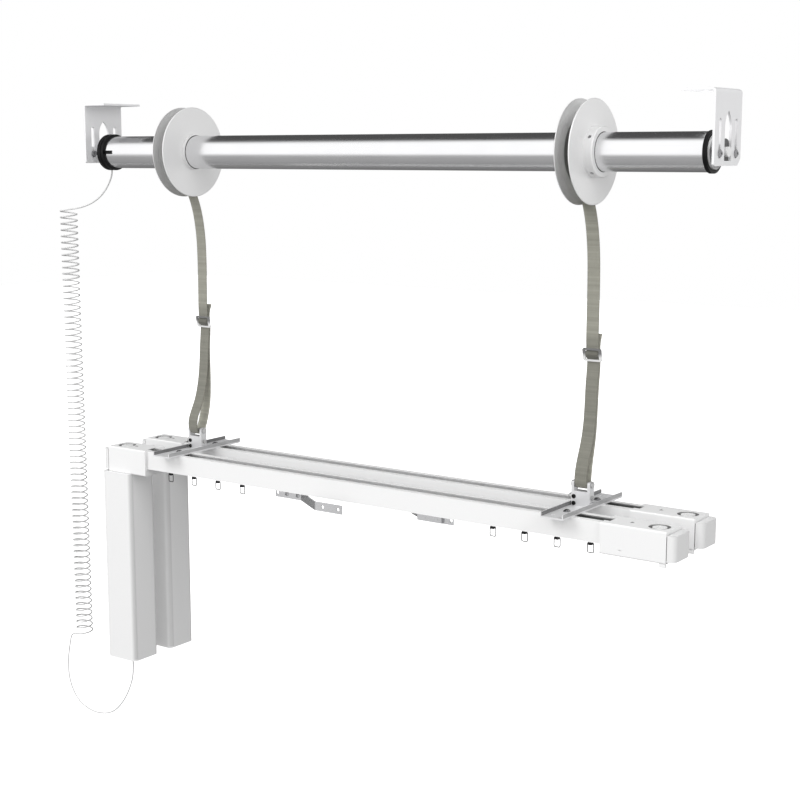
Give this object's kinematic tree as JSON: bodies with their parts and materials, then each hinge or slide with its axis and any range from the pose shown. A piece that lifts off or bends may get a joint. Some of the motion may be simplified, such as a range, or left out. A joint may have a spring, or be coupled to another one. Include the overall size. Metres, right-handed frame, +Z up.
{
  "type": "motorized curtain lift system",
  "caption": "Ceiling-mounted motor roller whose strap reels raise and lower a pair of parallel motorized curtain tracks, with a curly power cord to their hanging motors",
  "frame": {"origin": "centre of the four ceiling screw holes, on the ceiling plane", "axes": "+X along the roller tube towards the idler bracket, +Y away from the room, +Z up to the ceiling"},
  "size_m": [1.1962, 0.166, 1.0266],
  "materials": {
    "bracket_paint": "satin",
    "zinc_steel": "satin",
    "white_plastic": "satin",
    "motor_steel": "satin",
    "brushed_tube": "anodised, fine lengthwise grain",
    "black_plastic": "semi matt",
    "reel_paint": "satin",
    "webbing": "woven polyester with fine cross ribs",
    "buckle_chrome": "polished",
    "channel_alloy": "satin",
    "yoke_alloy": "satin",
    "track_paint": "white powder coat",
    "motor_paint": "white powder coat",
    "gearmotor_alloy": "plain",
    "belt_rubber": "matt",
    "zinc_strip": "zinc plated",
    "glider_plastic": "satin, with a steel wire eye",
    "white_cord": "satin"
  },
  "bodies": {
    "ceiling_frame": {"bracket_left": "bracket_paint", "bracket_right": "bracket_paint", "bracket_screws": "zinc_steel", "lift_motor_head": "white_plastic", "lift_motor_tube": "motor_steel", "idler_holder": "white_plastic", "head_cord_gland": "white_plastic"},
    "roller": {"roller_tube": "brushed_tube", "crown_ring": "black_plastic", "drive_wheel": "black_plastic", "end_plug": "black_plastic", "idler_bearing": "white_plastic", "strap_reel_left": "reel_paint", "strap_reel_right": "reel_paint", "reel_set_screws": "zinc_steel", "wound_straps": "webbing"},
    "carriage": {"strap_upper_left": "webbing", "strap_upper_right": "webbing", "lower_straps": "webbing", "buckles": "buckle_chrome", "cross_channels": "channel_alloy", "yokes": "yoke_alloy", "yoke_fixings": "zinc_steel", "track_clamps": "zinc_steel", "track_front": "track_paint", "track_rear": "track_paint", "drive_boxes": "white_plastic", "return_boxes": "white_plastic", "box_caps": "white_plastic", "curtain_motor_front": "motor_paint", "curtain_motor_rear": "motor_paint", "motor_bottom_caps": "white_plastic", "gearmotors": "gearmotor_alloy", "belts": "belt_rubber", "motor_cord_gland": "white_plastic", "curly_cord": "white_cord"},
    "master_front_left": {"master_front_left": "zinc_strip"},
    "master_front_right": {"master_front_right": "zinc_strip"},
    "drive_pulley_front": {"drive_pulley_front": "black_plastic"},
    "return_pulley_front": {"return_pulley_front": "white_plastic"},
    "glider_front_left_1": {"glider_front_left_1": "glider_plastic"},
    "glider_front_left_2": {"glider_front_left_2": "glider_plastic"},
    "glider_front_left_3": {"glider_front_left_3": "glider_plastic"},
    "glider_front_left_4": {"glider_front_left_4": "glider_plastic"},
    "glider_front_right_1": {"glider_front_right_1": "glider_plastic"},
    "glider_front_right_2": {"glider_front_right_2": "glider_plastic"},
    "glider_front_right_3": {"glider_front_right_3": "glider_plastic"},
    "glider_front_right_4": {"glider_front_right_4": "glider_plastic"},
    "master_rear_left": {"master_rear_left": "zinc_strip"},
    "master_rear_right": {"master_rear_right": "zinc_strip"},
    "drive_pulley_rear": {"drive_pulley_rear": "black_plastic"},
    "return_pulley_rear": {"return_pulley_rear": "white_plastic"},
    "glider_rear_left_1": {"glider_rear_left_1": "glider_plastic"},
    "glider_rear_left_2": {"glider_rear_left_2": "glider_plastic"},
    "glider_rear_left_3": {"glider_rear_left_3": "glider_plastic"},
    "glider_rear_left_4": {"glider_rear_left_4": "glider_plastic"},
    "glider_rear_right_1": {"glider_rear_right_1": "glider_plastic"},
    "glider_rear_right_2": {"glider_rear_right_2": "glider_plastic"},
    "glider_rear_right_3": {"glider_rear_right_3": "glider_plastic"},
    "glider_rear_right_4": {"glider_rear_right_4": "glider_plastic"}
  },
  "joints": [
    {"name": "lift_slide", "type": "slide", "parent": "ceiling_frame", "child": "carriage", "axis": [0, 0, 1], "range_m": [-0.7, 0.11], "deforming": ["strap_upper_left", "strap_upper_right", "curly_cord"]},
    {"name": "roller_spin", "type": "hinge", "parent": "ceiling_frame", "child": "roller", "pos_m": [0, 0, -0.076], "axis": [1, 0, 0], "range_deg": [-200, 1225]},
    {"name": "front_draw", "type": "slide", "parent": "carriage", "child": "master_front_left", "axis": [-1, 0, 0], "range_m": [-0.07, 0.18]},
    {"name": "front_right_draw", "type": "slide", "parent": "carriage", "child": "master_front_right", "axis": [1, 0, 0], "range_m": [-0.07, 0.18]},
    {"name": "drive_pulley_front_spin", "type": "hinge", "parent": "carriage", "child": "drive_pulley_front", "pos_m": [-0.4655, -0.036, -0.561], "axis": [0, 0, 1], "range_deg": [-890, 350]},
    {"name": "return_pulley_front_spin", "type": "hinge", "parent": "carriage", "child": "return_pulley_front", "pos_m": [0.48, -0.036, -0.561], "axis": [0, 0, 1], "range_deg": [-890, 350]},
    {"name": "glider_front_left_1_slide", "type": "slide", "parent": "carriage", "child": "glider_front_left_1", "axis": [-1, 0, 0], "range_m": [-0.0488, 0.1247]},
    {"name": "glider_front_left_2_slide", "type": "slide", "parent": "carriage", "child": "glider_front_left_2", "axis": [-1, 0, 0], "range_m": [-0.03468, 0.08839]},
    {"name": "glider_front_left_3_slide", "type": "slide", "parent": "carriage", "child": "glider_front_left_3", "axis": [-1, 0, 0], "range_m": [-0.02057, 0.05211]},
    {"name": "glider_front_left_4_slide", "type": "slide", "parent": "carriage", "child": "glider_front_left_4", "axis": [-1, 0, 0], "range_m": [-0.00645, 0.0158]},
    {"name": "glider_front_right_1_slide", "type": "slide", "parent": "carriage", "child": "glider_front_right_1", "axis": [1, 0, 0], "range_m": [-0.0488, 0.1247]},
    {"name": "glider_front_right_2_slide", "type": "slide", "parent": "carriage", "child": "glider_front_right_2", "axis": [1, 0, 0], "range_m": [-0.03468, 0.08839]},
    {"name": "glider_front_right_3_slide", "type": "slide", "parent": "carriage", "child": "glider_front_right_3", "axis": [1, 0, 0], "range_m": [-0.02057, 0.05211]},
    {"name": "glider_front_right_4_slide", "type": "slide", "parent": "carriage", "child": "glider_front_right_4", "axis": [1, 0, 0], "range_m": [-0.00645, 0.0158]},
    {"name": "rear_draw", "type": "slide", "parent": "carriage", "child": "master_rear_left", "axis": [-1, 0, 0], "range_m": [-0.07, 0.18]},
    {"name": "rear_right_draw", "type": "slide", "parent": "carriage", "child": "master_rear_right", "axis": [1, 0, 0], "range_m": [-0.07, 0.18]},
    {"name": "drive_pulley_rear_spin", "type": "hinge", "parent": "carriage", "child": "drive_pulley_rear", "pos_m": [-0.4655, 0.048, -0.561], "axis": [0, 0, 1], "range_deg": [-890, 350]},
    {"name": "return_pulley_rear_spin", "type": "hinge", "parent": "carriage", "child": "return_pulley_rear", "pos_m": [0.48, 0.048, -0.561], "axis": [0, 0, 1], "range_deg": [-890, 350]},
    {"name": "glider_rear_left_1_slide", "type": "slide", "parent": "carriage", "child": "glider_rear_left_1", "axis": [-1, 0, 0], "range_m": [-0.0488, 0.1247]},
    {"name": "glider_rear_left_2_slide", "type": "slide", "parent": "carriage", "child": "glider_rear_left_2", "axis": [-1, 0, 0], "range_m": [-0.03468, 0.08839]},
    {"name": "glider_rear_left_3_slide", "type": "slide", "parent": "carriage", "child": "glider_rear_left_3", "axis": [-1, 0, 0], "range_m": [-0.02057, 0.05211]},
    {"name": "glider_rear_left_4_slide", "type": "slide", "parent": "carriage", "child": "glider_rear_left_4", "axis": [-1, 0, 0], "range_m": [-0.00645, 0.0158]},
    {"name": "glider_rear_right_1_slide", "type": "slide", "parent": "carriage", "child": "glider_rear_right_1", "axis": [1, 0, 0], "range_m": [-0.0488, 0.1247]},
    {"name": "glider_rear_right_2_slide", "type": "slide", "parent": "carriage", "child": "glider_rear_right_2", "axis": [1, 0, 0], "range_m": [-0.03468, 0.08839]},
    {"name": "glider_rear_right_3_slide", "type": "slide", "parent": "carriage", "child": "glider_rear_right_3", "axis": [1, 0, 0], "range_m": [-0.02057, 0.05211]},
    {"name": "glider_rear_right_4_slide", "type": "slide", "parent": "carriage", "child": "glider_rear_right_4", "axis": [1, 0, 0], "range_m": [-0.00645, 0.0158]}
  ],
  "couplings": [
    {"joint": "roller_spin", "follows": "lift_slide", "rad_per_m": -30.303},
    {"joint": "front_right_draw", "follows": "front_draw", "ratio": 1},
    {"joint": "drive_pulley_front_spin", "follows": "front_draw", "rad_per_m": -85.106},
    {"joint": "return_pulley_front_spin", "follows": "front_draw", "rad_per_m": -85.106},
    {"joint": "glider_front_left_1_slide", "follows": "front_draw", "ratio": 0.69},
    {"joint": "glider_front_left_2_slide", "follows": "front_draw", "ratio": 0.4883},
    {"joint": "glider_front_left_3_slide", "follows": "front_draw", "ratio": 0.2867},
    {"joint": "glider_front_left_4_slide", "follows": "front_draw", "ratio": 0.085},
    {"joint": "glider_front_right_1_slide", "follows": "front_draw", "ratio": 0.69},
    {"joint": "glider_front_right_2_slide", "follows": "front_draw", "ratio": 0.4883},
    {"joint": "glider_front_right_3_slide", "follows": "front_draw", "ratio": 0.2867},
    {"joint": "glider_front_right_4_slide", "follows": "front_draw", "ratio": 0.085},
    {"joint": "rear_right_draw", "follows": "rear_draw", "ratio": 1},
    {"joint": "drive_pulley_rear_spin", "follows": "rear_draw", "rad_per_m": -85.106},
    {"joint": "return_pulley_rear_spin", "follows": "rear_draw", "rad_per_m": -85.106},
    {"joint": "glider_rear_left_1_slide", "follows": "rear_draw", "ratio": 0.69},
    {"joint": "glider_rear_left_2_slide", "follows": "rear_draw", "ratio": 0.4883},
    {"joint": "glider_rear_left_3_slide", "follows": "rear_draw", "ratio": 0.2867},
    {"joint": "glider_rear_left_4_slide", "follows": "rear_draw", "ratio": 0.085},
    {"joint": "glider_rear_right_1_slide", "follows": "rear_draw", "ratio": 0.69},
    {"joint": "glider_rear_right_2_slide", "follows": "rear_draw", "ratio": 0.4883},
    {"joint": "glider_rear_right_3_slide", "follows": "rear_draw", "ratio": 0.2867},
    {"joint": "glider_rear_right_4_slide", "follows": "rear_draw", "ratio": 0.085}
  ]
}
